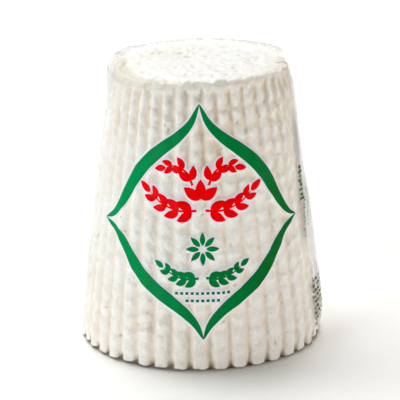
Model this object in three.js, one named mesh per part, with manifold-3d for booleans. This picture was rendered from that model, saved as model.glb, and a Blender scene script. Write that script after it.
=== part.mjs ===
// A small round of moulded, salted and aged ricotta, sealed in a close clear film.
//
// The basket mould leaves a tapering drum with upright ribs, a plain band under a
// flat, pitted top and a slumped foot. The drum leans a little and its ribs twist, as
// hand-turned curd does. The film follows the ribs over most of the wall, runs straight
// over a hollow flank and stands off in a low ear at one shoulder. Cheese and film are
// one closed solid.
//
// Units are millimetres, +Z is up, and the origin is the middle of the foot.
// The printed side of the film faces -Y.

import * as THREE from 'three';
import { mergeVertices } from 'three/addons/utils/BufferGeometryUtils.js';
import Module from 'manifold-3d';

// ---- driving dimensions ----

const height = 95.2;            // foot to flat top
const coneFootRadius = 43.3;    // where the straight wall would meet the floor
const wallTaper = 0.1402;       // radius lost for each millimetre of height, 8 degrees
const footTuck = 2.2;           // how far the slumped foot pulls in at the floor
const footTuckHeight = 5.5;     // height in which the tuck dies away
const footRun = 2.4;            // width of the rounding under the foot's edge
const footRise = 0.9;           // height of that rounding
const shoulderRun = 2.2;        // width of the rounded shoulder, seen from above
const shoulderDrop = 3.8;       // height of the rounded shoulder
const topLean = 2.3;            // how far the top stands towards +X of the foot

const ribCount = 42;            // ribs round the mould
const ribDepthFoot = 1.3;       // groove depth near the foot
const ribDepthWaist = 0.7;      // groove depth at half height, where the curd filled out
const ribDepthTop = 1.1;        // groove depth near the top
const ribNarrowFoot = 2.6;      // power of the groove's wave: broad ribs, narrow grooves
const ribNarrowTop = 0.95;      // the same near the top: ribs and grooves about equal
const ribNarrowBend = 0.7;      // below 1 widens the grooves sooner above the foot
const ribEndHeight = 91.5;      // where the ribs run out into the plain band
const ribEndScatter = 1.3;      // how unevenly they end

// The ribs lean in their own plane: how far they are turned, in ribs, at the top, how
// much more at the foot, how that sways round the drum, and the sway's direction.
const twistTop = 0.4;
const twistFoot = 0.72;
const twistSway = 0.45;
const twistHeight = 88;
const twistAngle = 15;
const twistBend = 1.7;          // above 1 keeps the twist till higher up

const pitCount = 26;            // pits in the flat top
const pitRadiusSmall = 0.7;
const pitRadiusLarge = 2.0;
const pitDepthPerRadius = 0.5;
const pitReach = 0.86;          // how far out the pits go, as a share of the flat top
const pitShift = 1.5;           // how far the pits crowd towards the back
const wallRelief = 0.3;         // slow swell of the wall, each way from the mean
const crumbRelief = 0.22;       // uneven grain of the wall, each way from the mean
const topRelief = 0.3;          // slow hills and hollows of the flat top

// Hollows, and one bulge, of the soft drum: depth, angle from the front in degrees
// towards +X, reach in degrees, height of the middle and reach up and down.
const dents = [
  { name: 'waist', depth: 3.5, angle: 104, reach: 32, z: 45, rise: 34 },
  { name: 'right shoulder', depth: 1.3, angle: 80, reach: 45, z: 95, rise: 8 },
  { name: 'right foot', depth: -0.6, angle: 65, reach: 40, z: 0, rise: 9 },
  { name: 'left foot', depth: 1.0, angle: -90, reach: 35, z: 15, rise: 12 },
  { name: 'left shoulder', depth: 1.3, angle: -98, reach: 20, z: 82, rise: 10 },
  { name: 'front shoulder', depth: 1.7, angle: -50, reach: 42, z: 95.5, rise: 4.5 },
];

// Places where the film leaves the curd: range of angles and of heights, softness of
// the edges of both, how far it stands off and how much more with each millimetre up.
const filmSpans = [
  { name: 'ear', angle: [-128, -80], z: [83, 110], soft: [9, 3], stand: 0.3, slope: 0.12 },
  { name: 'slack', angle: [-118, -76], z: [58, 84], soft: [9, 7], stand: 0.5, slope: 0 },
  { name: 'rear rim', angle: [108, 242], z: [93, 110], soft: [12, 2], stand: 0.8, slope: 0 },
  { name: 'hip', angle: [70, 130], z: [46, 91], soft: [9, 5], stand: -0.4, slope: 0 },
  { name: 'flank', angle: [72, 132], z: [5, 52], soft: [9, 4], stand: 0.3, slope: 0 },
];
const rimShare = 0.9;           // the ear reaches in over the top to this share of it

// ---- facets ----

const columnsPerRib = 4;
const wallRows = 13;
const footRows = 2;
const rowSpread = 0.93;         // below 1 sets the wall's rows closer together higher up
const shoulderRows = 3;
const topRings = [0.88, 0.6, 0.3]; // rings on the flat top, as shares of its radius
const touching = 1e-3;          // points closer than this lie on the same level

const wasm = await Module();
wasm.setup();

// Repeatable random numbers from 0 to 1 (mulberry32).
function seededRandom(seed) {
  let state = seed;
  return () => {
    state = (state + 0x6d2b79f5) | 0;
    let mixed = Math.imul(state ^ (state >>> 15), 1 | state);
    mixed = (mixed + Math.imul(mixed ^ (mixed >>> 7), 61 | mixed)) ^ mixed;
    return ((mixed ^ (mixed >>> 14)) >>> 0) / 4294967296;
  };
}

// ---- the shape, as functions of the angle round the axis and the height ----

// Mean radius of the wall over the rib crests: a straight taper with a tucked-in foot.
function wallRadius(z) {
  return coneFootRadius - wallTaper * z - footTuck * Math.exp(-z / footTuckHeight);
}

// Signed angle, in degrees, from a direction also given in degrees.
function gapFrom(direction, angle) {
  const degrees = THREE.MathUtils.radToDeg(angle) - direction;
  return THREE.MathUtils.euclideanModulo(degrees + 180, 360) - 180;
}

// Slow, uneven swell of the wall, from waves whose peaks never line up.
function wallSwell(angle, z) {
  const broad = Math.sin(2 * angle + 0.045 * z + 0.7);
  const fine = Math.sin(13 * angle + 0.21 * z + 4.0);
  return wallRelief * (0.6 * broad + 0.4 * fine);
}

// What the dents take away from the wall.
function dentDepth(angle, z) {
  let depth = 0;
  for (const dent of dents) {
    const across = gapFrom(dent.angle, angle) / dent.reach;
    depth += dent.depth * Math.exp(-(across ** 2) - ((z - dent.z) / dent.rise) ** 2);
  }
  return depth;
}

// Slow hills of the flat top, which die away at its rim (share 1 of its radius).
function topSwell(x, y, share) {
  const hills = Math.sin(0.19 * x + 1.1) * Math.sin(0.23 * y + 0.4) + Math.sin(0.41 * x - 0.3 * y);
  return 0.5 * topRelief * hills * (1 - share ** 4);
}

// 1 between low and high, 0 well beyond them, with slopes twice soft wide.
function plateau(value, low, high, soft) {
  const rise = THREE.MathUtils.smoothstep(value, low - soft, low + soft);
  return rise * (1 - THREE.MathUtils.smoothstep(value, high - soft, high + soft));
}

// A surface raised towards each span's stand-off by the span's weight, never lowered.
function spanned(surface, angle, z) {
  let raised = surface;
  for (const span of filmSpans) {
    const half = (span.angle[1] - span.angle[0]) / 2;
    const across = plateau(gapFrom(span.angle[0] + half, angle), -half, half, span.soft[0]);
    const weight = across * plateau(z, span.z[0], span.z[1], span.soft[1]);
    const stand = span.stand + span.slope * Math.max(z - span.z[0], 0);
    raised += weight * Math.max(stand - raised, 0);
  }
  return raised;
}

// How far the ribs have turned at a height, in ribs.
function ribTwist(angle, z) {
  const sway = twistSway * Math.sin(angle - THREE.MathUtils.degToRad(twistAngle));
  return twistTop + (1 - Math.min(z / twistHeight, 1) ** twistBend) * (twistFoot + sway);
}

// Where one rib runs out under the shoulder: each rib has its own uneven end.
function ribEnd(rib) {
  return ribEndHeight + ribEndScatter * Math.sin(2.4 * rib + 1.3 * Math.sin(1.7 * rib));
}

// Depth of the wall below the rib crests. The place across the ribs counts ribs: it is
// whole on a crest, where the depth is 0, and the depth is full halfway between.
function grooveDepth(place, z) {
  const rise = z / height;
  const low = THREE.MathUtils.lerp(ribDepthFoot, ribDepthWaist, Math.min(2 * rise, 1));
  const depth = THREE.MathUtils.lerp(low, ribDepthTop, Math.max(2 * rise - 1, 0));
  const narrow = THREE.MathUtils.lerp(ribNarrowFoot, ribNarrowTop, rise ** ribNarrowBend);
  const end = ribEnd(Math.round(place));
  const fade = 1 - THREE.MathUtils.smoothstep(z, end - 2.2, end + 0.4);
  return depth * fade * (0.5 - 0.5 * Math.cos(2 * Math.PI * place)) ** narrow;
}

// ---- the drum ----

const wallTop = height - shoulderDrop;
const flatTopRadius = wallRadius(wallTop) - shoulderRun;

// Profile from the middle of the foot, up the wall and in to the middle of the top.
function drumProfile() {
  const points = [new THREE.Vector2(0, 0)];
  for (let row = 0; row <= footRows; row++) {
    const turn = ((row / footRows) * Math.PI) / 2;
    const z = footRise * (1 - Math.cos(turn));
    points.push(new THREE.Vector2(wallRadius(z) - footRun * (1 - Math.sin(turn)), z));
  }
  for (let row = 1; row < wallRows; row++) {
    const z = footRise + (wallTop - footRise) * (row / wallRows) ** rowSpread;
    points.push(new THREE.Vector2(wallRadius(z), z));
  }
  for (let row = 0; row <= shoulderRows; row++) {
    const turn = ((row / shoulderRows) * Math.PI) / 2;
    const radius = wallRadius(wallTop) - shoulderRun * (1 - Math.cos(turn));
    points.push(new THREE.Vector2(radius, wallTop + shoulderDrop * Math.sin(turn)));
  }
  for (const share of topRings) points.push(new THREE.Vector2(share * flatTopRadius, height));
  points.push(new THREE.Vector2(0, height));
  return points;
}

// Leave only positions, join what touches and drop the flat slivers at the poles.
function weld(geometry) {
  geometry.deleteAttribute('normal');
  geometry.deleteAttribute('uv');
  const welded = mergeVertices(geometry, 1e-4);
  const corners = welded.index.array;
  const kept = [];
  for (let i = 0; i < corners.length; i += 3) {
    const [a, b, c] = [corners[i], corners[i + 1], corners[i + 2]];
    if (a !== b && b !== c && c !== a) kept.push(a, b, c);
  }
  welded.setIndex(kept);
  return welded;
}

// One point of the lathed drum, moved to its place. The columns follow the ribs' twist,
// and the relief pushes outward on the wall, upward on the top and both on the shoulder.
function placedPoint(x, y, z, grain) {
  const radius = Math.hypot(x, y);
  if (radius < touching) return new THREE.Vector3((topLean * z) / height, 0, z);
  const column = Math.atan2(x, -y);
  const twist = ribTwist(column, z);
  const angle = column + (twist * 2 * Math.PI) / ribCount;
  const share = Math.min(radius / flatTopRadius, 1);
  const upward = z < wallTop ? 0 : (z - wallTop) / shoulderDrop;
  const outward = z > height - touching ? 0 : Math.sqrt(1 - upward ** 2);
  const place = (column * ribCount) / (2 * Math.PI);
  const dent = dentDepth(angle, z) * share ** 2;
  const curd = wallSwell(angle, z) - grooveDepth(place, z) * outward - dent;
  const onTop = z > height - touching;
  const surface = onTop ? topSwell(x, y, share) - dent : curd + grain;
  const raised = share > rimShare ? spanned(surface, angle, z) : surface;
  const moved = radius + (z < touching ? Math.min(raised, 0) : outward * raised);
  const lean = (topLean * z) / height;
  const lifted = z + upward * raised;
  return new THREE.Vector3(moved * Math.sin(angle) + lean, -moved * Math.cos(angle), lifted);
}

// Turn the profile round the axis, then move each point to the ribs and the film.
function drumGeometry() {
  const geometry = new THREE.LatheGeometry(drumProfile(), ribCount * columnsPerRib);
  geometry.rotateX(Math.PI / 2);
  const drum = weld(geometry);
  const random = seededRandom(7);
  const position = drum.getAttribute('position');
  for (let i = 0; i < position.count; i++) {
    const [x, y, z] = [position.getX(i), position.getY(i), Math.max(position.getZ(i), 0)];
    const grain = z < touching ? 0 : crumbRelief * (2 * random() - 1);
    position.setXYZ(i, ...placedPoint(x, y, z, grain));
  }
  return drum;
}

// ---- booleans ----

function toSolid(geometry) {
  const vertProperties = Float32Array.from(geometry.getAttribute('position').array);
  const triVerts = Uint32Array.from(geometry.index.array);
  return new wasm.Manifold(new wasm.Mesh({ numProp: 3, vertProperties, triVerts }));
}

function toGeometry(solid) {
  const mesh = solid.getMesh();
  const geometry = new THREE.BufferGeometry();
  const position = new THREE.BufferAttribute(Float32Array.from(mesh.vertProperties), 3);
  geometry.setAttribute('position', position);
  geometry.setIndex(Array.from(mesh.triVerts));
  geometry.computeVertexNormals();
  return geometry;
}

// ---- the pits in the flat top ----

// Shallow craters, spread by the golden angle so that they never line up. Every
// third one is large, and they crowd towards the back of the top.
function pitCutters() {
  const random = seededRandom(29);
  const goldenAngle = Math.PI * (3 - Math.sqrt(5));
  const cutters = [];
  for (let i = 0; i < pitCount; i++) {
    const radius = pitReach * flatTopRadius * Math.sqrt((i + 0.5) / pitCount);
    const angle = i * goldenAngle + 0.5 * random();
    const large = i % 3 === 0;
    const size = large ? pitRadiusLarge * (0.6 + 0.4 * random()) : pitRadiusSmall * (1 + random());
    const pit = new THREE.IcosahedronGeometry(1, 1);
    pit.scale(size, size * (0.6 + 0.4 * random()), size * pitDepthPerRadius);
    pit.rotateZ(Math.PI * random());
    const x = topLean + radius * Math.sin(angle);
    const y = radius * Math.cos(angle) + pitShift;
    pit.translate(x, y, height + 0.25 * size * pitDepthPerRadius);
    cutters.push(toSolid(weld(pit)));
  }
  return cutters;
}

// ---- the part ----

function wrappedRicotta() {
  let solid = toSolid(drumGeometry());
  for (const cutter of pitCutters()) solid = solid.subtract(cutter);
  const material = new THREE.MeshStandardMaterial({
    color: 0xefebe3,
    roughness: 0.45,
    metalness: 0,
  });
  const mesh = new THREE.Mesh(toGeometry(solid), material);
  mesh.name = 'wrapped_ricotta';
  return mesh;
}

const group = new THREE.Group();
group.add(wrappedRicotta());

export default group;
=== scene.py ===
# %% [markdown]
# # A moulded ricotta round in clear film
#
# This lesson dresses a small ribbed cheese: a tapering drum of white curd that came out
# of a basket mould, aged until firm, and sealed in a tight clear film with a printed
# ornament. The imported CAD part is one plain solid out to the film. Here it is replaced by
# three kinds of pieces: the curd itself, the film over it, and the print on the film.
# Every shape is a numpy surface, so each one can be changed by a named size.

import bpy
import numpy as np
from mathutils import Matrix, Vector


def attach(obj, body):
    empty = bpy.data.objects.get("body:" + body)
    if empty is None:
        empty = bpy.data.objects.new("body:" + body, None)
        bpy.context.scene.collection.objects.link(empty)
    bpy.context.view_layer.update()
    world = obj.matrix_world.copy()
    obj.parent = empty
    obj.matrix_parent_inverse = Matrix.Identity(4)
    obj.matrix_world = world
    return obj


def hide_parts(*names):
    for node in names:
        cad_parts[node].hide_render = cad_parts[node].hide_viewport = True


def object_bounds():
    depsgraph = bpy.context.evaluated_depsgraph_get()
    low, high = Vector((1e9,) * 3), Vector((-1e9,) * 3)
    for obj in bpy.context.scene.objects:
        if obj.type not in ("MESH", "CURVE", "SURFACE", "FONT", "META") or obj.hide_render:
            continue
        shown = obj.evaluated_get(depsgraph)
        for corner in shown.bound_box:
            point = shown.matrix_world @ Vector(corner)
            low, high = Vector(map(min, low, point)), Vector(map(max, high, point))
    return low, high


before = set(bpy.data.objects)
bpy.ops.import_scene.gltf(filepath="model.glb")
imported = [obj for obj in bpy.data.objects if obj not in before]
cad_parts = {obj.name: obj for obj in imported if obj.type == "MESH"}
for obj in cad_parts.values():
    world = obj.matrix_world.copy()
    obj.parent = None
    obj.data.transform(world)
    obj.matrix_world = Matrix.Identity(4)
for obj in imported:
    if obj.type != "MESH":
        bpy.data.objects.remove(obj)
cad_low, cad_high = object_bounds()
print("CAD box, metres:", [round(v, 4) for v in (*cad_low, *cad_high)])

# %% [markdown]
# ## Sizes
#
# The sizes are the ones that a mould maker would give: height, radius at the foot, taper,
# number of ribs. They are in millimetres, because that is how such a mould is drawn, and
# one factor turns them into Blender's metres when a mesh is made. The height comes from
# the frame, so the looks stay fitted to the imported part. The film's ear stands up past the
# flat top, so its rise is taken off the whole height.

# %% Driving sizes
MM = 0.001
EAR_RISE = 1.76
HEIGHT = (cad_high[2] - cad_low[2]) / MM - EAR_RISE
CONE_FOOT_RADIUS = 43.3
WALL_TAPER = 0.1402
FOOT_TUCK = 2.2
FOOT_TUCK_HEIGHT = 5.5
FOOT_RUN = 2.4
FOOT_RISE = 0.9
TOP_LEAN = 2.3
RIB_COUNT = 42
BEAD_PITCH = 5.5
SHOULDER_RUN = 2.2
SHOULDER_DROP = 3.8
print(f"the round is {HEIGHT:.1f} mm high with {RIB_COUNT} ribs")

# %% [markdown]
# ## Camera
#
# A long lens a good half metre away looks a little down on the round, so its wall tapers
# hardly more than the real one does. The camera is turned about its own axis by one
# degree, because the round stands a touch askew in the frame.

# %% Place the camera
CAMERA_DISTANCE = 609.0
CAMERA_PITCH = np.radians(17.38)
CAMERA_ROLL = np.radians(-1.06)
AIM_HEIGHT = 45.9
LENS = 160.9
SHIFT_X = 0.005


def place_camera():
    """The camera sits on a circle round the aim point, at its pitch above the horizon,
    and its rotation is a tilt about X after a roll about its own axis."""
    data = bpy.data.cameras.new("camera")
    data.lens = LENS
    data.shift_x = SHIFT_X
    data.clip_end = 20
    camera = bpy.data.objects.new("camera", data)
    bpy.context.scene.collection.objects.link(camera)
    back = -CAMERA_DISTANCE * np.cos(CAMERA_PITCH)
    up = AIM_HEIGHT + CAMERA_DISTANCE * np.sin(CAMERA_PITCH)
    tilt = Matrix.Rotation(np.pi / 2 - CAMERA_PITCH, 4, "X")
    roll = Matrix.Rotation(CAMERA_ROLL, 4, "Z")
    camera.matrix_world = Matrix.Translation(Vector((0, back, up)) * MM) @ tilt @ roll
    bpy.context.scene.camera = camera
    return camera


camera = place_camera()
print("camera at", [round(v, 3) for v in camera.matrix_world.translation])

# %% [markdown]
# ## Node helpers
#
# The sky and every finish are graphs of nodes. One helper makes a node, sets its
# properties and fills its inputs, so that each node is one call that says what it is.


# %% Node helpers
def set_inputs(tree, node, sources):
    """Fill a node's inputs, given by label or number: a socket is linked there, and a
    plain value is written. The three numbers of a colour get a fourth, 1."""
    for label, value in sources.items():
        socket = node.inputs[label]
        if isinstance(value, bpy.types.NodeSocket):
            tree.links.new(value, socket)
        else:
            socket.default_value = (*value, 1) if socket.type == "RGBA" else value


def add_node(tree, kind, sources=None, **settings):
    """A new node of a kind, with its properties from settings and inputs from sources."""
    node = tree.nodes.new(kind)
    for label, value in settings.items():
        setattr(node, label, value)
    set_inputs(tree, node, sources or {})
    return node


print("node helpers: set_inputs, add_node")

# %% [markdown]
# ## Light
#
# White food on a white table is lit by large soft sources. One panel hangs nearly overhead
# and one high at the back left, so the top is bright and only a short soft shadow falls
# forward. The other two stand low, at the front left and at the right: they light the ribs
# and the print while they hardly touch the table, so the shadow at the foot stays dark.
# A last panel behind points straight down and keeps the far table white.

# %% Light panels
COOL, PLAIN, WARM = (0.915, 0.97, 1.0), (1.0, 1.0, 1.0), (1.0, 0.975, 0.925)
PANELS = {
    "overhead": {"place": (-0.06, 0.33, 1.10), "size": 0.5, "power": 10.4, "colour": PLAIN},
    "back left": {"place": (-0.65, 0.35, 0.90), "size": 0.6, "power": 4.6, "colour": COOL},
    "front left": {"place": (-0.90, -0.83, 0.21), "size": 0.42, "power": 7.15, "colour": COOL},
    "right": {"place": (1.08, -0.28, 0.17), "size": 0.42, "power": 5.7, "colour": WARM},
}
MIDDLE = (0, 0, 0.05)
BACKDROP = {"place": (0, 0.75, 0.5), "size": 0.3, "power": 0.8, "colour": PLAIN}
BACKDROP_SPREAD = 80


def panel_light(name, place, size, power, colour, aim=MIDDLE):
    """A square panel at place, in metres, that faces aim: the middle of the round."""
    data = bpy.data.lights.new(name, "AREA")
    data.size = size
    data.energy = power
    data.color = colour
    light = bpy.data.objects.new(name, data)
    light.location = place
    towards = Vector(aim) - Vector(place)
    light.rotation_euler = towards.to_track_quat("-Z", "Y").to_euler()
    bpy.context.scene.collection.objects.link(light)
    return data


for name, panel in PANELS.items():
    panel_light(name, **panel)
backdrop = panel_light("backdrop", **BACKDROP, aim=(0, BACKDROP["place"][1], 0))
backdrop.spread = np.radians(BACKDROP_SPREAD)
print("panels:", {name: panel["power"] for name, panel in PANELS.items()}, "W")

# %% [markdown]
# The sky is white to the camera, and gives hardly any light itself, so that the panels
# alone shape the ribs. A Light Path node tells camera rays from all the others.

# %% Sky
SKY_LIGHT = 0.02
SKY_SEEN = 1.02


def paint_sky():
    """Camera rays see one strength of white, every other ray another."""
    world = bpy.data.worlds.new("soft white studio")
    bpy.context.scene.world = world
    world.use_nodes = True
    tree = world.node_tree
    tree.nodes.clear()
    seen = add_node(tree, "ShaderNodeLightPath").outputs["Is Camera Ray"]
    strengths = {"Factor": seen, "A": SKY_LIGHT, "B": SKY_SEEN}
    strength = add_node(tree, "ShaderNodeMix", strengths).outputs["Result"]
    white = {"Color": (1.0, 1.0, 1.0), "Strength": strength}
    background = add_node(tree, "ShaderNodeBackground", white)
    add_node(tree, "ShaderNodeOutputWorld", {"Surface": background.outputs["Background"]})


paint_sky()
bpy.context.scene.view_settings.view_transform = "Standard"
print("sky strength:", SKY_SEEN, "to the camera,", SKY_LIGHT, "as light")

# %% [markdown]
# ## Meshes from arrays
#
# Curd and film are bodies of revolution: grids of points that close round their columns
# and end in one point at each pole. The helpers take whole arrays, so no loop runs over
# single vertices.


# %% Meshes and closed bodies
def mesh_object(name, points, faces):
    """An object at the origin whose mesh holds points, given in millimetres."""
    mesh = bpy.data.meshes.new(name)
    mesh.from_pydata((points * MM).tolist(), [], faces)
    mesh.validate()
    mesh.polygons.foreach_set("use_smooth", np.ones(len(mesh.polygons), bool))
    piece = bpy.data.objects.new(name, mesh)
    bpy.context.scene.collection.objects.link(piece)
    return piece


def ring_faces(rows, columns):
    """Faces of a closed body whose first and last vertices are its poles and whose rows
    of columns lie between: a fan at each pole and quads round each pair of rows."""
    row, column = np.meshgrid(np.arange(rows - 1), np.arange(columns), indexing="ij")
    after = (column + 1) % columns
    low, high = 1 + row * columns, 1 + (row + 1) * columns
    quads = np.stack([low + column, low + after, high + after, high + column], -1)
    around, following = np.arange(columns), (np.arange(columns) + 1) % columns
    last, top = 1 + (rows - 1) * columns, 1 + rows * columns
    foot_fan = np.stack([np.zeros_like(around), 1 + following, 1 + around], -1)
    top_fan = np.stack([np.full_like(around, top), last + around, last + following], -1)
    return quads.reshape(-1, 4).tolist() + foot_fan.tolist() + top_fan.tolist()


def body_object(name, points):
    """A closed body from a (rows, columns, 3) grid. The poles are its end rows' means."""
    rows, columns, _ = points.shape
    poles = points[0].mean(0)[None], points[-1].mean(0)[None]
    stacked = np.concatenate([poles[0], points.reshape(-1, 3), poles[1]])
    return mesh_object(name, stacked, ring_faces(rows, columns))


print("a body of 3 rows and 8 columns has", len(ring_faces(3, 8)), "faces")

# %% [markdown]
# ## Repeatable unevenness
#
# Curd is uneven at every scale, from slow lumps to single grains. Value noise gives that:
# space is cut into cells, each corner gets a repeatable random number, and the value
# between corners is a smooth blend. The same seed always gives the same curd.


# %% Random number of a cell
def cell_random(cells, seed):
    """A number from 0 to 1 for each whole-number cell: its coordinates are multiplied by
    large odd numbers and their bits are mixed."""
    mixed = cells[..., 0] * 73856093 ^ cells[..., 1] * 19349663
    mixed = (mixed ^ cells[..., 2] * 83492791 ^ seed * 40503) & 0xFFFFFFFF
    mixed = ((mixed ^ (mixed >> 13)) * 1274126177) & 0xFFFFFFFF
    mixed = mixed ^ (mixed >> 16)
    return (mixed & 0xFFFFFF) / float(0xFFFFFF)


print("random number of the first cell:", round(float(cell_random(np.zeros(3, int), 1)), 3))

# %% [markdown]
# A single lattice shows its cells as a faint grid. Two of them, turned against each other,
# hide it. TURNED is a plain rotation of space.

# %% Value noise
TURNED = np.array([[0.36, 0.48, -0.8], [-0.8, 0.6, 0.0], [0.48, 0.64, 0.6]])


def lattice_noise(points, seed):
    """A blend of the eight random corners of each unit cell, weighted by smoothed
    distances, from 0 to 1."""
    cell = np.floor(points).astype(np.int64)
    part = points - cell
    part = part * part * (3 - 2 * part)
    total = np.zeros(points.shape[:-1])
    for corner in np.ndindex(2, 2, 2):
        weight = np.prod(np.where(np.array(corner) == 1, part, 1 - part), axis=-1)
        total += weight * cell_random(cell + np.array(corner), seed)
    return total


def noise(points, size, seed):
    """Smooth noise, mostly from -1 to 1, whose hills are about size across: two lattices
    turned against each other, so that no grid shows."""
    scaled = points / size
    both = lattice_noise(scaled, seed) + lattice_noise(scaled @ TURNED, seed + 101)
    return 1.4 * (both - 1)


print("noise at the origin:", round(float(noise(np.zeros(3), 1.0, 1)), 3))

# %% [markdown]
# Nothing on moist curd or film has a hard edge, so every threshold is a smooth step.


# %% Smooth step
def smooth_step(low, high, value):
    """0 below low, 1 above high, and a smooth rise between."""
    t = np.clip((value - low) / (high - low), 0, 1)
    return t * t * (3 - 2 * t)


print("smooth step at a quarter:", smooth_step(0, 1, 0.25))

# %% [markdown]
# ## The drum
#
# The wall is a straight taper whose slumped foot is tucked in. All surfaces share one
# profile, from the middle of the foot, round the foot's edge, up the wall, over the
# shoulder and in to the middle of the top. At each profile point the outward normal is
# known, and curd and film are both that profile moved along the normal.

# %% Profile of the drum
BASE_ROWS, FOOT_ROWS, WALL_ROWS, SHOULDER_ROWS, TOP_ROWS = 4, 6, 146, 7, 50


def wall_radius(z):
    """A straight taper less a tuck that dies away with height above the foot."""
    return CONE_FOOT_RADIUS - WALL_TAPER * z - FOOT_TUCK * np.exp(-z / FOOT_TUCK_HEIGHT)


def drum_profile():
    """Radius and height of each profile row: a flat foot, a quarter of a flat ellipse
    under its edge, the tapered wall, another quarter ellipse for the shoulder, and the
    flat top."""
    turn = np.linspace(0, np.pi / 2, FOOT_ROWS)
    foot_z = FOOT_RISE * (1 - np.cos(turn))
    foot_r = wall_radius(foot_z) - FOOT_RUN * (1 - np.sin(turn))
    base_r = np.linspace(0.06, 1, BASE_ROWS, endpoint=False) * foot_r[0]
    wall_top = HEIGHT - SHOULDER_DROP
    wall_z = np.linspace(FOOT_RISE, wall_top, WALL_ROWS + 2)[1:-1]
    turn = np.linspace(0, np.pi / 2, SHOULDER_ROWS)
    shoulder_r = wall_radius(wall_top) - SHOULDER_RUN * (1 - np.cos(turn))
    shoulder_z = wall_top + SHOULDER_DROP * np.sin(turn)
    top_r = np.linspace(1, 0.02, TOP_ROWS + 1)[1:] * shoulder_r[-1]
    radius = np.concatenate([base_r, foot_r, wall_radius(wall_z), shoulder_r, top_r])
    height = [np.zeros(BASE_ROWS), foot_z, wall_z, shoulder_z, np.full(TOP_ROWS, HEIGHT)]
    return radius, np.concatenate(height)


profile_r, profile_z = drum_profile()
run, rise = np.gradient(profile_r), np.gradient(profile_z)
normal_r = rise / np.hypot(run, rise)
normal_z = -run / np.hypot(run, rise)
print("profile rows", len(profile_r), "widest radius", round(float(profile_r.max()), 2), "mm")

# %% [markdown]
# Turned round the axis, the profile gives a grid. ANGLE is 0 at the printed front and grows
# to the right. CLIMB is the height, counted on past the rim as the distance in over the
# flat top. ON_WALL and ON_TOP are 1 where the relief of the wall or of the top belongs, and
# OUTWARD falls from 1 at the rim to 0 at the middle of the top.

# %% Grid of the drum
COLUMNS = RIB_COUNT * 10
angles = np.arange(COLUMNS) * 2 * np.pi / COLUMNS
ANGLE, Z = np.meshgrid(angles, profile_z)
upright = np.where(profile_z < FOOT_RISE, 1, smooth_step(0.3, 0.9, normal_r))
ON_WALL = smooth_step(0.0, 0.5, Z) * upright[:, None]
ON_TOP = smooth_step(0.2, 0.9, normal_z)[:, None] * np.ones_like(Z)
top_radius = profile_r[profile_z > HEIGHT - 0.001].max()
OUTWARD = np.where(Z > HEIGHT - 0.001, profile_r[:, None] / top_radius, 1.0)
CLIMB = Z + top_radius * (1 - OUTWARD)


def drum_points(relief):
    """The profile turned round the leaning axis, moved along its normal by relief."""
    radius = profile_r[:, None] + normal_r[:, None] * relief
    z = profile_z[:, None] + normal_z[:, None] * relief
    lean = TOP_LEAN * profile_z[:, None] / HEIGHT
    return np.stack([radius * np.sin(ANGLE) + lean, -radius * np.cos(ANGLE), z], -1)


smooth_drum = drum_points(np.zeros_like(Z))
print("grid of", len(Z), "rows and", COLUMNS, "columns")

# %% [markdown]
# ## Curd relief
#
# The relief is a sum of what the mould and the curd leave behind: grooves, beads, dents,
# grain and pits. First comes the course of the ribs, counted round the drum. They twist
# from foot to top, as a soft round does when it is turned out, and wander a little.

# %% Course of the ribs
TWIST_TOP, TWIST_FOOT, TWIST_SWAY = 0.40, 0.72, 0.45
TWIST_HEIGHT, TWIST_ANGLE, TWIST_CURVE = 88.0, np.radians(15), 1.7
WANDERS = [{"share": 0.04, "per_rib": 0.9, "rise": 9.0, "seed": 11},
           {"share": 0.02, "per_rib": 3.0, "rise": 2.0, "seed": 12}]


def rib_turn(angle, z):
    """Position across the ribs, in ribs: the whole part is the rib's number and the rest,
    from -0.5 to 0.5, is the place across it. The angle is counted in pitches, less a twist
    that is larger on one side than on the other, and two noises are added."""
    untwist = 1 - np.clip(z / TWIST_HEIGHT, 0, 1) ** TWIST_CURVE
    twist = TWIST_TOP + untwist * (TWIST_FOOT + TWIST_SWAY * np.sin(angle - TWIST_ANGLE))
    turn = angle * RIB_COUNT / (2 * np.pi)
    place = turn - twist
    for wander in WANDERS:
        path = [turn * wander["per_rib"], z / wander["rise"], np.zeros_like(z)]
        place = place + wander["share"] * noise(np.stack(path, -1), 1.0, wander["seed"])
    return place


course = rib_turn(np.zeros(2), np.array([0.0, TWIST_HEIGHT]))
print("a rib at the front twists by", round(float(course[1] - course[0]), 2), "pitches")

# %% [markdown]
# Near the foot the ribs are broad and the grooves narrow, and near the top they are about
# equal and run out unevenly under a plain band. The mould pressed a little harder on the
# left, so the grooves are deeper there.

# %% Grooves
GROOVE_HEIGHTS = (0, 4, 12, 30, 62, 78, 92)
GROOVE_DEPTHS = (1.3, 1.15, 1.0, 0.8, 0.75, 0.95, 1.05)
GROOVE_LEAN = 0.15
NARROW_HEIGHTS = (0, 4, 30, 92)
NARROW_POWERS = (4.5, 3.2, 2.2, 1.1)
RIB_SKEW = 0.35
RIB_END, RIB_END_SWAY, RIB_END_SCATTER = 92.3, 2.1, 0.7
RIB_END_SOFT = (1.4, 0.4)


def groove_relief(angle, z):
    """Minus a power of a raised cosine across each rib: a high power leaves a broad rib
    with a narrow groove, a power of one leaves an even wave. The wave is skewed, so that
    each rib rises steeply on its left and falls away slowly on its right."""
    turn = rib_turn(angle, z)
    rib = np.round(turn)
    phase = 2 * np.pi * turn
    wave = 0.5 - 0.5 * np.cos(phase + RIB_SKEW * (1 + np.cos(phase)))
    depth = np.interp(z, GROOVE_HEIGHTS, GROOVE_DEPTHS) * (1 - GROOVE_LEAN * np.sin(angle))
    end = RIB_END + RIB_END_SWAY * np.sin(angle)
    end += RIB_END_SCATTER * np.sin(2.4 * rib + 1.3 * np.sin(1.7 * rib))
    fade = 1 - smooth_step(end - RIB_END_SOFT[0], end + RIB_END_SOFT[1], z)
    return -depth * fade * wave ** np.interp(z, NARROW_HEIGHTS, NARROW_POWERS)


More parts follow.
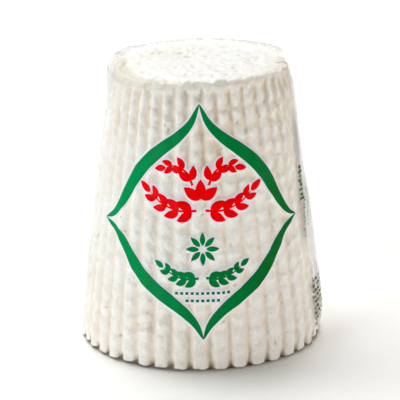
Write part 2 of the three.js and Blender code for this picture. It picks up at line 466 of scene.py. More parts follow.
grooves = groove_relief(ANGLE, Z)
print("deepest groove", round(float(-grooves.min()), 2), "mm")

# %% [markdown]
# Where the basket's cross strands pressed, each rib is a row of low beads. They are out of
# step from rib to rib, as the strands of a woven basket are.

# %% Beads
BEAD_HEIGHT, BEAD_FADE = 0.24, 5


def bead_relief(angle, z):
    """A cosine along each rib, strongest on its crest, whose start shifts by two sines of
    the rib's number. It fades out below the end of the ribs."""
    turn = rib_turn(angle, z)
    rib = np.round(turn)
    crest = 1 - smooth_step(0.1, 0.5, np.abs(turn - rib))
    step = 0.16 * np.sin(3.1 * rib) + 0.1 * np.sin(5.7 * rib)
    fade = 1 - smooth_step(RIB_END - BEAD_FADE, RIB_END, z)
    return BEAD_HEIGHT * crest * fade * np.cos(2 * np.pi * (z / BEAD_PITCH + step))


beads = bead_relief(ANGLE, Z)
print("beads stand", round(float(beads.max()), 2), "mm proud,", BEAD_PITCH, "mm apart")

# %% [markdown]
# A round leaves the mould while it is soft, so it sags, and whatever it touches presses
# wide, shallow hollows into it. Each is a bell across and up. They could be sculpted, but
# a bell has sizes that can be read and changed. Angles are in degrees, as ANGLE runs.

# %% Dents
DENTS = {
    "waist": {"depth": 3.5, "angle": 104, "reach": 32, "z": 45, "rise": 34},
    "shoulder": {"depth": 1.3, "angle": 80, "reach": 45, "z": 95, "rise": 8},
    "right foot": {"depth": -0.6, "angle": 65, "reach": 40, "z": 0, "rise": 9},
    "left foot": {"depth": 1.0, "angle": -90, "reach": 35, "z": 15, "rise": 12},
    "left shoulder": {"depth": 1.3, "angle": -98, "reach": 20, "z": 82, "rise": 10},
    "front shoulder": {"depth": 1.7, "angle": -50, "reach": 42, "z": 95.5, "rise": 4.5},
}


def angle_gap(degrees):
    """Each column's signed angle from a direction given in degrees, within half a turn."""
    return (ANGLE - np.radians(degrees) + np.pi) % (2 * np.pi) - np.pi


def bell(value, reach):
    """1 at 0, falling off smoothly within a few reaches."""
    return np.exp(-((value / reach) ** 2))


def dent_relief():
    """Minus the sum of all bells: a negative depth makes a bulge. On the flat top they
    die away towards the middle."""
    relief = np.zeros_like(Z)
    for dent in DENTS.values():
        across = bell(angle_gap(dent["angle"]), np.radians(dent["reach"]))
        relief -= dent["depth"] * across * bell(Z - dent["z"], dent["rise"])
    return relief * OUTWARD**4 * (Z > 0)


dents = dent_relief()
print("deepest dent", round(float(-dents.min()), 2), "mm")

# %% [markdown]
# The curd's own unevenness is the same everywhere on the wall: lumps and grains of several
# sizes, crumbs that stand proud, and a few places where the mould tore a grain out. Layers
# of noise give it, each with a height, a size and a seed of its own.

# %% Grain of the wall
WALL_GRAIN = [(0.1, 6.5, 21), (0.12, 2.7, 22), (0.18, 1.25, 23)]
CRUMB_HEIGHT, CRUMB_SIZE, CRUMB_EDGE = 0.34, 1.5, (0.45, 0.8)
TORN_DEPTH, TORN_SIZE, TORN_EDGE = 0.5, 1.3, (0.9, 1.05)


def layered(points, layers):
    """A sum of noises, each given by its height in millimetres, its size and its seed."""
    return sum(height * noise(points, size, seed) for height, size, seed in layers)


def torn_places(points):
    """1 in the few small torn pits of the wall and 0 elsewhere: the peaks of a noise."""
    return smooth_step(*TORN_EDGE, noise(points, TORN_SIZE, 25))


def wall_grain(points):
    """Lumps and grains, with crumbs on them where a noise is high, less the torn pits."""
    crumbs = smooth_step(*CRUMB_EDGE, noise(points, CRUMB_SIZE, 24))
    grain = layered(points, WALL_GRAIN) + CRUMB_HEIGHT * crumbs
    return grain - TORN_DEPTH * torn_places(points)


torn = torn_places(smooth_drum)
wall = grooves + beads + wall_grain(smooth_drum)
print("torn share of the wall", round(float(torn.mean()), 4))

# %% [markdown]
# The flat top was pressed by nothing but a cloth, so it is granular, with soft hills.

# %% Grain of the top
TOP_GRAIN = [(0.2, 7.0, 31), (0.25, 2.8, 32), (0.24, 1.3, 33)]
SHALLOW_DEPTH, SHALLOW_SIZE, SHALLOW_EDGE = 0.5, 2.1, (0.35, 0.75)
PRESSED = (1, 0.6, 1)


def top_grain(points):
    """Slow hills, fine grains and shallow pits, all longer to the back than wide."""
    points = points * PRESSED
    shallow = smooth_step(*SHALLOW_EDGE, noise(points, SHALLOW_SIZE, 34))
    return layered(points, TOP_GRAIN) - SHALLOW_DEPTH * shallow


top = top_grain(smooth_drum)
print("top's grain from", round(float(top.min()), 2), "to", round(float(top.max()), 2), "mm")

# %% [markdown]
# Deeper pits crowd towards the back of the top. The widest are listed one by one, each by
# its x, y and radius, because they catch the eye first, and the small ones are drawn from a
# fixed seed. The whole relief then lies a little under the smooth drum, which leaves room
# for the film.

# %% Pits of the top
CURD_INSET = 0.35
PIT_COUNT, PIT_SPREAD = 40, 27.0
PIT_WIDTHS, PIT_DEPTHS = (0.7, 1.6), (0.4, 0.8)
PIT_STEEPNESS, PIT_RAGGED, PIT_SQUASH = 0.45, 0.45, 1.2
PLACED_PITS = [(-16.5, 8.6, 2.4), (-13.2, 11.6, 2.8), (-9.8, 13.8, 2.2), (-6.0, 12.2, 2.6),
               (-3.0, 6.4, 2.6), (9.7, 19.4, 2.0), (3.8, 5.0, 1.4), (11.8, -1.2, 1.6),
               (15.4, -4.2, 1.5), (18.0, 7.0, 1.5), (19.2, -5.0, 1.6), (22.0, 4.0, 1.4)]


def pit_relief(points):
    """Craters, each a smooth bowl with an uneven outline. Two of three small ones lie in
    the rear half."""
    random = np.random.default_rng(5)
    relief = np.zeros(points.shape[:-1])
    ragged = PIT_RAGGED * noise(points, 1.2, 41)
    pits = [(x, y, wide, PIT_STEEPNESS * wide) for x, y, wide in PLACED_PITS]
    for index in range(PIT_COUNT):
        distance = PIT_SPREAD * np.sqrt(random.random())
        side = random.uniform(0, np.pi) if index % 3 else random.uniform(-np.pi, 0)
        x, y = TOP_LEAN + distance * np.cos(side), distance * np.sin(side)
        pits.append((x, y, random.uniform(*PIT_WIDTHS), random.uniform(*PIT_DEPTHS)))
    for x, y, wide, deep in pits:
        gap = np.hypot(points[..., 0] - x, PIT_SQUASH * (points[..., 1] - y))
        relief -= deep * (1 - smooth_step(0.2, 1.0, gap / wide + ragged))
    return relief


top = top + pit_relief(smooth_drum)
curd = ON_WALL * wall + ON_TOP * top + dents - CURD_INSET
print("curd relief from", round(float(curd.min()), 2), "to", round(float(curd.max()), 2))

# %% [markdown]
# ## The film's own form
#
# Shrunk film touches the crests and sags a little into the grooves. The upper envelope of
# the curd is where a taut film would lie: each point takes the highest relief within a
# few millimetres round it, smoothed. A part of the curd's own smoothed relief is mixed in
# for the sag. A cloth simulation could do this too, but an envelope is quick and gives the
# same film on every run.

# %% Envelope of the curd
ENVELOPE_REACH, ENVELOPE_SMOOTH, SAG_SMOOTH = 4, 3, 2
FILM_CLEARANCE = 0.06
SAG, SAG_AT_FOOT, SAG_HEIGHTS = 0.4, 1.0, (1.0, 6.0)


def shifted(values, rows, columns):
    """The grid moved by whole rows, which stop at the ends, and columns, which wrap."""
    index = np.clip(np.arange(values.shape[0]) + rows, 0, values.shape[0] - 1)
    return np.roll(values[index], -columns, axis=1)


def widest(values, reach):
    """The greatest value within a square of so many rows and columns each way."""
    steps = range(-reach, reach + 1)
    wide = np.max([shifted(values, 0, step) for step in steps], axis=0)
    return np.max([shifted(wide, step, 0) for step in steps], axis=0)


def averaged(values, reach):
    """The mean of the values within a square of so many rows and columns each way."""
    steps = range(-reach, reach + 1)
    wide = np.mean([shifted(values, 0, step) for step in steps], axis=0)
    return np.mean([shifted(wide, step, 0) for step in steps], axis=0)


taut = averaged(widest(curd, ENVELOPE_REACH), ENVELOPE_SMOOTH)
sag = SAG + (SAG_AT_FOOT - SAG) * (1 - smooth_step(*SAG_HEIGHTS, Z))
cling = (1 - sag) * taut + sag * averaged(curd, SAG_SMOOTH)
cling = np.maximum(cling, averaged(widest(curd, 1), 1))
cling = np.maximum(cling, curd) + FILM_CLEARANCE
print("film clears the curd by", round(float((cling - curd).min()), 3), "mm at least")

# %% [markdown]
# Where the film is slack or taut it leaves the curd altogether: in an ear at the left
# shoulder, in a lens over the rear rim, and in a straight run down the right flank, where
# the drum is hollow. Each such span is a range of degrees and heights, with soft edges in
# degrees and in millimetres. Its stand is how far from the smooth drum the film is lifted
# there, below 0 over a dent, and its slope adds to that with each millimetre of height.

# %% Where the film stands off
SPANS = {
    "ear": {"angle": (-128, -80), "z": (83, 110), "soft": (9, 3), "stand": 0.3, "slope": 0.12},
    "slack": {"angle": (-118, -76), "z": (58, 84), "soft": (9, 7), "stand": 0.5, "slope": 0},
    "rear rim": {"angle": (108, 242), "z": (93, 110), "soft": (12, 2), "stand": 0.8, "slope": 0},
    "hip": {"angle": (70, 130), "z": (46, 91), "soft": (9, 5), "stand": -0.4, "slope": 0},
    "flank": {"angle": (72, 132), "z": (5, 52), "soft": (9, 4), "stand": 0.3, "slope": 0},
}


def plateau(value, low, high, soft):
    """1 between low and high, 0 beyond them, and smooth slopes as wide as twice soft."""
    rise = smooth_step(low - soft, low + soft, value)
    return rise * (1 - smooth_step(high - soft, high + soft, value))


def span_weight(span):
    """1 inside a span's range of angles and heights, falling off round it. On the flat
    top it dies away towards the middle."""
    low, high = span["angle"]
    gap = np.degrees(angle_gap((low + high) / 2))
    across = plateau(gap, (low - high) / 2, (high - low) / 2, span["soft"][0])
    return across * plateau(Z, *span["z"], span["soft"][1]) * smooth_step(0.86, 0.98, OUTWARD)


print("spans:", {name: span["stand"] for name, span in SPANS.items()}, "mm")

# %% [markdown]
# Round the right shoulder the film is gathered, because there is more of it than the taper
# needs. A few small folds show that. Last, the film is lifted off the curd everywhere, so
# that the two never cross.

# %% Folds and the whole film
TOP_FILM = 0.3
FOLD_ANGLE, FOLD_LEVEL, FOLD_SLANT = 72, 91.1, 0.31
FOLD_PITCH, FOLD_HEIGHT, FOLD_REACH, FOLD_RISE = 1.8, 0.2, 14, 2.4


def fold_wave():
    """A sine of a slanted height, which fades out all round the middle of the folds."""
    fall = smooth_drum[..., 2] + FOLD_SLANT * smooth_drum[..., 1]
    near = bell(np.degrees(angle_gap(FOLD_ANGLE)), FOLD_REACH)
    near = near * bell(fall - FOLD_LEVEL, FOLD_RISE)
    return near * plateau(CLIMB, 91, 98, 1) * np.sin(2 * np.pi * fall / FOLD_PITCH)


def film_relief():
    """The clinging film, in each span raised towards the span's own stand-off."""
    relief = np.where(ON_TOP > 0.5, np.maximum(cling, TOP_FILM), cling)
    for span in SPANS.values():
        stand = span["stand"] + span["slope"] * np.maximum(Z - span["z"][0], 0)
        relief = relief + span_weight(span) * np.maximum(stand - relief, 0)
    relief = np.maximum(averaged(relief, 2), cling) + FOLD_HEIGHT * fold_wave()
    return np.maximum(relief, curd + FILM_CLEARANCE)


folded = smooth_step(0.1, 0.6, fold_wave())
film = film_relief() * (Z > 0)
print("film relief from", round(float(film.min()), 2), "to", round(float(film.max()), 2))

# %% [markdown]
# ## Make the curd
#
# The curd is one closed mesh. Its colours follow its shape, so each point also stores a
# few numbers, from 0 to about 1, as attributes that the material reads.

# %% Curd mesh
CURD_LIFT = 0.2
curd_points = drum_points(curd)
curd_points[..., 2] = np.maximum(curd_points[..., 2], CURD_LIFT)
ricotta = body_object("ricotta", curd_points)


def store_attribute(piece, name, grid):
    """Write one number for each vertex of a body, with the end rows' means at its poles."""
    values = np.concatenate([[grid[0].mean()], grid.ravel(), [grid[-1].mean()]])
    layer = piece.data.attributes.new(name, "FLOAT", "POINT")
    layer.data.foreach_set("value", values.astype(np.float32))


store_attribute(ricotta, "torn", ON_WALL * torn)
print("ricotta has", len(ricotta.data.vertices), "vertices")

# %% [markdown]
# Grooves get painted shade, warm and beige, while crests stay white. It grows with how
# far a point lies below the film's envelope, a little less on the lit left, and some zones
# of the wall get painted shade all over. The plain band under the rim is olive with
# painted shade.

# %% Painted shade in the grooves and in zones of the wall
HOLLOW_HEIGHTS = (0, 30, 70, 80, 95)
HOLLOW_DEPTHS = (2.4, 2.0, 1.8, 1.6, 1.7)
HOLLOW_LEAN = 0.25
# Zones of painted shade, each over a range of angles and heights of the wall.
SHADE_ZONES = [{"share": 0.06, "angle": 14, "reach": 13, "z": (62, 92)},
        {"share": 0.16, "angle": 4, "reach": 11, "z": (60, 80)},
        {"share": 0.14, "angle": 76, "reach": 11, "z": (66, 92)},
        {"share": 0.08, "angle": -58, "reach": 28, "z": (72, 92)},
        {"share": 0.18, "angle": -4, "reach": 48, "z": (0, 24)},
        {"share": 0.14, "angle": -70, "reach": 22, "z": (0, 30)}]
SHADE_ZONE_SOFT = 6
# The plain band under the rim: olive, with painted shade.
BAND_SHARE, BAND_HEIGHTS, BAND_SOFT = 0.42, (91.5, 94.6), 0.7
# Painted shade in the grooves: darker the deeper the curd lies under the envelope, a little
# lighter on the lit left.
hollow = np.clip((taut - curd) / np.interp(Z, HOLLOW_HEIGHTS, HOLLOW_DEPTHS), 0, 1)
zone_shade = sum(zone["share"] * bell(angle_gap(zone["angle"]), np.radians(zone["reach"]))
           * plateau(Z, *zone["z"], SHADE_ZONE_SOFT) for zone in SHADE_ZONES)
leftward = np.maximum(-np.sin(ANGLE), 0)
band = BAND_SHARE * plateau(Z, *BAND_HEIGHTS, BAND_SOFT)
# All the wall's painted shade together, with the band's olive.
wall_shade = np.maximum(hollow * (1 - HOLLOW_LEAN * leftward) + zone_shade, band)
store_attribute(ricotta, "hollow", wall_shade * (1 - ON_TOP))
print("mean hollow of the curd", round(float((wall_shade * (1 - ON_TOP)).mean()), 3))

# %% [markdown]
# On the top some patches turn olive, and the pits get olive painted shade. So does the
# plain rim all along its front, olive with painted shade, most of all at the left. The foot
# gets a dark brown painted contact shadow, which reaches up its grooves.

# %% Olive top, shaded rim and painted contact shadow at the foot
RIM_FRONT, RIM_SIDE = 0.8, 4.2
RIM_SHARES = {"all": 0.1, "sides": 0.45, "left": 0.3, "fine": 0.35, "patchy": 0.25}
TOP_SHARES = {"patchy": 0.18, "fine": 0.36, "clouded": 0.28}
# The third number is how far the painted contact shadow runs up the grooves at the foot.
PIT_OLIVE, PIT_POWER, FOOT_GROOVE_SHADE = 1.1, 1.5, 0.6
CLOUD_PLACE, CLOUD_REACH = (-11, 13), 12
stains = {
    "all": 1,
    "sides": np.abs(np.sin(ANGLE)),
    "left": leftward,
    "fine": smooth_step(0.1, 0.7, noise(smooth_drum * PRESSED, 1.2, 62)),
    "patchy": smooth_step(0.0, 0.6, noise(smooth_drum * PRESSED, 3.2, 61)),
    "clouded": bell(np.linalg.norm(smooth_drum[..., :2] - CLOUD_PLACE, axis=-1), CLOUD_REACH),
}
# The rim is olive with painted shade, widest at the sides and strongest at the left.
rim_reach = RIM_FRONT + (RIM_SIDE - RIM_FRONT) * np.sin(ANGLE) ** 2
ribless = CLIMB - RIB_END - RIB_END_SWAY * np.sin(ANGLE)
rim = smooth_step(-0.9, 0.5, ribless) * smooth_step(-0.45, 0.0, np.cos(ANGLE))
rim = rim * (1 - smooth_step(0.4, 1, (CLIMB - HEIGHT) / rim_reach))
rim = rim * sum(share * stains[name] for name, share in RIM_SHARES.items())
store_attribute(ricotta, "rim", np.clip(rim, 0, 1))
mottled = sum(share * stains[name] for name, share in TOP_SHARES.items())
# In the pits the olive is painted shade.
olive = ON_TOP * (mottled + PIT_OLIVE * hollow**PIT_POWER)
store_attribute(ricotta, "olive", np.clip(olive, 0, 1))
# Painted contact shadow: dark brown at the very bottom of the curd and up its grooves near the
# foot.
grooved = smooth_step(0.3, 0.7, -grooves) * (1 - smooth_step(1.0, 4.5, Z))
store_attribute(ricotta, "contact_shade", np.maximum(1 - smooth_step(0.3, 0.9, Z), FOOT_GROOVE_SHADE * grooved))
print("mean olive of the top", round(float(olive[-TOP_ROWS:].mean()), 3))

# %% [markdown]
# ## Make the film
#
# The film is a second closed mesh over the curd. It casts no shadow, because real film is
# too thin to dim what it wraps. Besides the spans that stand off, it has marks of its own:
# a milky column and a crease at the left, and a veil over the ribs. At the right it also
# carries painted shade: a dark strip of painted shadow with a grey shade beside it, and a
# block of painted shade near the foot.

# %% Film mesh, its marks and its painted shade
FILM_LIFT = 0.02
FILM_MARKS_AND_SHADES = {
    "column": {"angle": -94, "across": (-26, 26), "soft": 8, "z": (80, 92.5), "fade": 2.5},
    "crease": {"angle": -88, "across": (-2, 2), "soft": 2, "z": (70, 80), "fade": 2},
    "strip": {"angle": 62, "across": (-4, 4), "soft": 2.5, "z": (34, 77), "fade": 6, "lean": 0.13},
    "shade": {"angle": 62, "across": (4, 15), "soft": 3, "z": (30, 66), "fade": 8, "lean": 0.13},
    "veil": {"angle": 69, "across": (-14, 14), "soft": 8, "z": (64, 91), "fade": 4},
    "block_shade": {"angle": 85, "across": (-17, 17), "soft": 4, "z": (5, 21), "fade": 2.5},
}
film_points = drum_points(film)
film_points[..., 2] = np.maximum(film_points[..., 2], FILM_LIFT)
wrap = body_object("film_wrap", film_points)
wrap.visible_shadow = False


def mark_and_shade_weight(angle, across, soft, z, fade, lean=0.0):
    """1 on a mark of the film, or on a patch of its painted shade, and 0 off it: a range of
    degrees round a middle angle, which moves on by lean with each millimetre of height,
    within a range of heights."""
    gap = np.degrees(angle_gap(angle)) - lean * Z
    return plateau(gap, *across, soft) * plateau(Z, *z, fade)


mark_and_shade = {name: mark_and_shade_weight(**place) for name, place in FILM_MARKS_AND_SHADES.items()}
# The block of brown painted shade is broken up by a noise.
mark_and_shade["block_shade"] *= smooth_step(-0.9, 0.1, noise(smooth_drum, 1.6, 52))
print("film has", len(wrap.data.vertices), "vertices; marks_and_shades:", ", ".join(mark_and_shade))

# %% [markdown]
# The film's mesh stores two numbers. Haze is how milky it looks: more in the spans, on the
# marks and on the painted shade, in upright streaks as shrinking leaves them, and none at
# the foot. The other is brown painted shade: a painted shadow on the strip, and painted
# shade on the block, in the folds and in the tuck. Both may pass 1, and the material cuts
# off what is more.

# %% Haze and painted shade of the film
SPAN_HAZE = {"ear": 0.17, "slack": 0.35, "rear rim": 0.42, "flank": 0.5, "hip": 0.4}
MARK_AND_SHADE_HAZE = {"column": 0.42, "crease": 0.5, "strip": 0.5, "shade": 0.35, "veil": 0.28,
                "block_shade": 0.9}
STREAKED = {"spans": 0.25, "column": 0.25, "veil": 0.4}
# The second number is the share of brown painted shadow on the strip.
FOLD_HAZE, STRIP_SHADE = 0.3, 0.7
FOOT_CLEAR = (1.5, 5.0)
TUCK_ANGLE, TUCK_REACH, TUCK_CLIMB, TUCK_RISE = -97, 4, 95.2, 1.0
streaks = noise(smooth_drum * (1, 1, 0.12), 1.6, 51)
tuck = bell(np.degrees(angle_gap(TUCK_ANGLE)), TUCK_REACH) * bell(CLIMB - TUCK_CLIMB, TUCK_RISE)
haze = sum(share * span_weight(SPANS[name]) for name, share in SPAN_HAZE.items())
haze = haze * (1 + STREAKED["spans"] * streaks)
for name, share in MARK_AND_SHADE_HAZE.items():
    haze += share * mark_and_shade[name] * (1 + STREAKED.get(name, 0) * streaks)
haze += FOLD_HAZE * (folded + tuck) + smooth_step(*FOOT_CLEAR, Z) - 1
# Brown painted shade: a painted shadow on the strip, and painted shade on the block, in the folds
# and in the tuck.
film_shade = np.maximum(STRIP_SHADE * mark_and_shade["strip"], mark_and_shade["block_shade"]) + folded + tuck
store_attribute(wrap, "haze", haze)
store_attribute(wrap, "film_shade", film_shade)
print("haze up to", round(float(haze.max()), 2), "umber up to", round(float(film_shade.max()), 2))

# %% [markdown]
# ## Materials
#
# An effect that several materials share is a node group with named sockets. Its helpers
# make the group, the arithmetic inside it, and noise on object coordinates, which stays on
# a piece wherever it is moved.


# %% Group helpers
def new_group(name, inputs, output, kind):
    """An empty node group with float inputs (label: default) and one output of a kind,
    and its two inner ends."""
    group = bpy.data.node_groups.new(name, "ShaderNodeTree")
    for label, value in inputs.items():
        socket = group.interface.new_socket(label, in_out="INPUT", socket_type="NodeSocketFloat")
        socket.default_value = value
    group.interface.new_socket(output, in_out="OUTPUT", socket_type=kind)
    return group, group.nodes.new("NodeGroupInput"), group.nodes.new("NodeGroupOutput")


def maths(tree, operation, *values, clamp=False):
    """The result of one Math node on sockets and plain numbers."""
    sources = dict(enumerate(values))
    node = add_node(tree, "ShaderNodeMath", sources, operation=operation, use_clamp=clamp)
    return node.outputs[0]


def object_noise(tree, scale, detail):
    """A noise texture on object coordinates, from 0 to 1."""
    place = add_node(tree, "ShaderNodeTexCoord").outputs["Object"]
    sources = {"Vector": place, "Scale": scale, "Detail": detail}
    return add_node(tree, "ShaderNodeTexNoise", sources).outputs["Fac"]


print("group helpers: new_group, maths, object_noise")

# %% [markdown]
# A mottle is slow or fine patches of one noise, and varies a colour. A ripple is a bump of
# two noise sizes. It roughens the curd and breaks up the gloss of film and ink alike.


# %% Mottle and ripple
def mottle_group():
    """Noise with its contrast stretched about the middle, held from 0 to 1."""
    inputs = {"Scale": 200.0, "Contrast": 2.0}
    group, inside, outside = new_group("mottle", inputs, "Mask", "NodeSocketFloat")
    centred = maths(group, "SUBTRACT", object_noise(group, inside.outputs["Scale"], 3.0), 0.5)
    contrast = inside.outputs["Contrast"]
    mask = maths(group, "MULTIPLY_ADD", centred, contrast, 0.5, clamp=True)
    group.links.new(mask, outside.inputs["Mask"])
    return group


def ripple_group():
    """A bump whose height is a broad noise plus a share of a fine one."""
    inputs = {"Broad scale": 90.0, "Fine scale": 900.0, "Fine share": 0.3, "Distance": 0.0002}
    group, inside, outside = new_group("ripple", inputs, "Normal", "NodeSocketVector")
    broad = object_noise(group, inside.outputs["Broad scale"], 2.0)
    fine = object_noise(group, inside.outputs["Fine scale"], 2.0)
    height = maths(group, "MULTIPLY_ADD", fine, inside.outputs["Fine share"], broad)
    sources = {"Distance": inside.outputs["Distance"], "Height": height}
    bump = add_node(group, "ShaderNodeBump", sources)
    group.links.new(bump.outputs["Normal"], outside.inputs["Normal"])
    return group


MOTTLE, RIPPLE = mottle_group(), ripple_group()
print("shared groups:", MOTTLE.name, RIPPLE.name)

# %% [markdown]
# Each material is a Principled shader, which stays in the material itself, fed by groups,
# stored attributes and mixes of colours.


# %% Material helpers
def new_material(name):
    """A material with only an output and a Principled shader: the material, its tree and
    the shader."""
    material = bpy.data.materials.new(name)
    material.use_nodes = True
    return material, material.node_tree, material.node_tree.nodes["Principled BSDF"]


def place_group(tree, group, values):
    """The output of a group placed in a tree with its inputs set."""
    return add_node(tree, "ShaderNodeGroup", values, node_tree=group).outputs[0]


def mix_colour(tree, factor, first, second):
    """A mix of two colours or sockets by a factor socket. A Mix node's sockets for colours
    are its inputs 6 and 7 and its output 2."""
    sources = {"Factor": factor, 6: first, 7: second}
    return add_node(tree, "ShaderNodeMix", sources, data_type="RGBA").outputs[2]


def stored_mask(tree, name):
    """The socket of a number that the mesh stores under name."""
    return add_node(tree, "ShaderNodeAttribute", attribute_name=name).outputs["Fac"]


print("material helpers: new_material, place_group, mix_colour, stored_mask")

# %% [markdown]
# Aged ricotta is white with a hint of cream, and the whole is a little translucent, which
# softens the ribs. Its grooves and pits get painted shade, warmer and darker than the
# crests. One mask after another is laid over the white, so that a later one hides what is
# below it.

# %% Curd material
CREST_WHITE, CREAM, SPECK = (0.957, 0.957, 0.968), (0.908, 0.892, 0.85), (0.83, 0.778, 0.66)
CREAM_PATCHES = {"Scale": 450.0, "Contrast": 3.2}
FINE_SPECKS = {"Scale": 1500.0, "Contrast": 4.0}
SPECK_SHARE, DEEP_POWER = 0.45, 3.0
# The tints of grooves, deep grooves and foot are painted shade; the olive and the rim's tints are
# partly painted shade.
CURD_TINTS = {
    "hollow": (0.87, 0.765, 0.605),
    "deep": (0.70, 0.55, 0.40),
    "olive": (0.80, 0.76, 0.64),
    "rim": (0.71, 0.667, 0.55),
    "torn": (0.70, 0.52, 0.36),
    "contact_shade": (0.24, 0.16, 0.08),
}
CURD_GRAIN = {"Broad scale": 520.0, "Fine scale": 1400.0, "Fine share": 0.5, "Distance": 0.00033}
CURD_FINISH = {"Roughness": 0.55, "Subsurface Weight": 0.12,
               "Subsurface Radius": (1.0, 0.8, 0.6), "Subsurface Scale": 0.0015}


def curd_material():
    """White on the crests, with cream patches and small specks. Over that comes a tint for
    each stored mask in turn, and one for the deepest hollows, the cube of the groove mask.
    The tints of grooves, pits and foot are painted shade, and those of the olive top and the
    rim are partly painted shade."""
    material, tree, shader = new_material("aged curd")
    patches = place_group(tree, MOTTLE, CREAM_PATCHES)
    specks = maths(tree, "MULTIPLY", place_group(tree, MOTTLE, FINE_SPECKS), SPECK_SHARE)
    colour = mix_colour(tree, patches, CREST_WHITE, CREAM)
    colour = mix_colour(tree, specks, colour, SPECK)
    masks = {name: stored_mask(tree, name) for name in CURD_TINTS if name != "deep"}
    masks["deep"] = maths(tree, "POWER", masks["hollow"], DEEP_POWER)
    for name, tint in CURD_TINTS.items():
        colour = mix_colour(tree, masks[name], colour, tint)
    grain = place_group(tree, RIPPLE, CURD_GRAIN)
    set_inputs(tree, shader, {"Base Color": colour, "Normal": grain, **CURD_FINISH})
    return material


ricotta.data.materials.append(curd_material())
print("curd material has", len(ricotta.data.materials[0].node_tree.nodes), "nodes")

# %% [markdown]
# Clear film can hardly be seen face on. It shows by its gloss, by a lilac tinge where it is
# seen at a grazing angle, and by its haze. Such a thin sheet bends no light that the eye
# would notice, so a low alpha under a clear coat does for it, and glass is not needed.

# %% Film material
# The last colour is the brown of the painted shade.
FILM_GREY, FILM_LILAC, SHADE_BROWN = (0.64, 0.62, 0.57), (0.82, 0.79, 0.90), (0.18, 0.11, 0.05)
FACE_ALPHA, EDGE_ALPHA, EDGE_POWER, EDGE_BLEND = 0.01, 0.24, 3.0, 0.2
FILM_RIPPLE = {"Broad scale": 120.0, "Fine scale": 500.0, "Fine share": 0.4, "Distance": 0.0003}
FILM_FINISH = {"Roughness": 0.12, "Coat Weight": 0.5, "Coat Roughness": 0.08}


def film_material():
    """Its alpha is a little face on, more by a power of the grazing angle, and more again
    by the haze. It is painted brown with shade on the strip, the block, the folds and the tuck."""
    material, tree, shader = new_material("clear film")
    haze, film_shade = stored_mask(tree, "haze"), stored_mask(tree, "film_shade")
    facing = add_node(tree, "ShaderNodeLayerWeight", {"Blend": EDGE_BLEND}).outputs["Facing"]
    edge = maths(tree, "POWER", facing, EDGE_POWER)
    clear = maths(tree, "MULTIPLY_ADD", edge, EDGE_ALPHA, FACE_ALPHA)
    alpha = maths(tree, "ADD", clear, haze, clamp=True)
    tint = mix_colour(tree, facing, FILM_GREY, FILM_LILAC)
    tint = mix_colour(tree, film_shade, tint, SHADE_BROWN)
    ripple = place_group(tree, RIPPLE, FILM_RIPPLE)
    looks = {"Base Color": tint, "Alpha": alpha, "Normal": ripple}
    set_inputs(tree, shader, {**looks, **FILM_FINISH})
    return material


wrap.data.materials.append(film_material())
print("film material has", len(wrap.data.materials[0].node_tree.nodes), "nodes")

# %% [markdown]
# ## Print on the film
#
# The print is thin shells just above the film: a white underlay with a rim that shows as
# a halo, and green and red on top. An image would be quicker, but shells keep sharp edges
# at any distance. Each mark is a stroke: a centre line and a half width along it. It is
# laid out flat, in millimetres from the label's middle line and from the foot, and then
# bent round the film.

# %% Bend the label round the film
LABEL_SHIFT, LABEL_SLANT = 0.96, -0.0252


def film_surface(across, z, lift):
    """Points of the film at a distance round it and a height: the grid's relief is read
    by linear blending, and lift is added along the normal."""
    wall = slice(BASE_ROWS + 1, BASE_ROWS + FOOT_ROWS + WALL_ROWS)
    row = np.interp(z, profile_z[wall], np.arange(len(profile_z))[wall])
    angle = (across + LABEL_SHIFT + LABEL_SLANT * z) / wall_radius(z)
    column = (angle - angles[0]) / (2 * np.pi) * COLUMNS
    low_row, low_column = np.floor(row).astype(int), np.floor(column).astype(int)
    up, along = row - low_row, column - low_column
    near, far = low_column % COLUMNS, (low_column + 1) % COLUMNS
    below = film[low_row, near] * (1 - along) + film[low_row, far] * along
    above = film[low_row + 1, near] * (1 - along) + film[low_row + 1, far] * along
    relief = below * (1 - up) + above * up + lift
    rows = np.arange(len(profile_z))
    radius = wall_radius(z) + np.interp(row, rows, normal_r) * relief
    height = z + np.interp(row, rows, normal_z) * relief
    lean = TOP_LEAN * z / HEIGHT
    return np.stack([radius * np.sin(angle) + lean, -radius * np.cos(angle), height], -1)


label_middle = film_surface(np.zeros(1), np.array([HEIGHT / 2]), 0.0)[0]
print("middle of the label at", [round(float(v), 1) for v in label_middle], "mm")

# %% [markdown]
# A pen's line is smooth, so each centre line is a spline: few points to give, and as many
# steps between them as the mesh needs.


# %% Smooth lines
def spline(points, steps):
    """A smooth line through given points (a Catmull-Rom spline)."""
    points = np.asarray(points, float)
    padded = np.vstack([2 * points[0] - points[1], points, 2 * points[-1] - points[-2]])
    t = np.linspace(0, len(points) - 1, steps)
    index = np.minimum(t.astype(int), len(points) - 2)
    part = (t - index)[:, None]
    before, start, end, after = (padded[index + k] for k in range(4))
    line = 2 * start + (end - before) * part
    line += (2 * before - 5 * start + 4 * end - after) * part**2
    line += (3 * start - before - 3 * end + after) * part**3
    return line / 2


def directions(line):
    """Unit vectors along a line, one at each of its points."""
    along = np.gradient(line, axis=0)
    return along / np.linalg.norm(along, axis=1, keepdims=True)


quarter = spline([(1, 0), (0.707, 0.707), (0, 1)], 9)
print("quarter circle from 3 points, radii", np.linalg.norm(quarter, axis=1).round(2))

# %% [markdown]
# A stroke is a ribbon with a few points across, so that it bends with the film. Its halo is
# the same ribbon, wider all round and with rounded ends.

# %% Strokes and halos
ACROSS, CAP_STEPS = 9, 6
TIP_HALF_WIDTH = 0.02


def stroke(line, half_width):
    """A ribbon round a centre line: across each point it reaches half_width both ways
    along the line's normal."""
    along = directions(line)
    side = np.stack([-along[:, 1], along[:, 0]], -1)
    share = np.linspace(-1, 1, ACROSS)
    return line[:, None] + side[:, None] * (half_width[:, None] * share)[..., None]


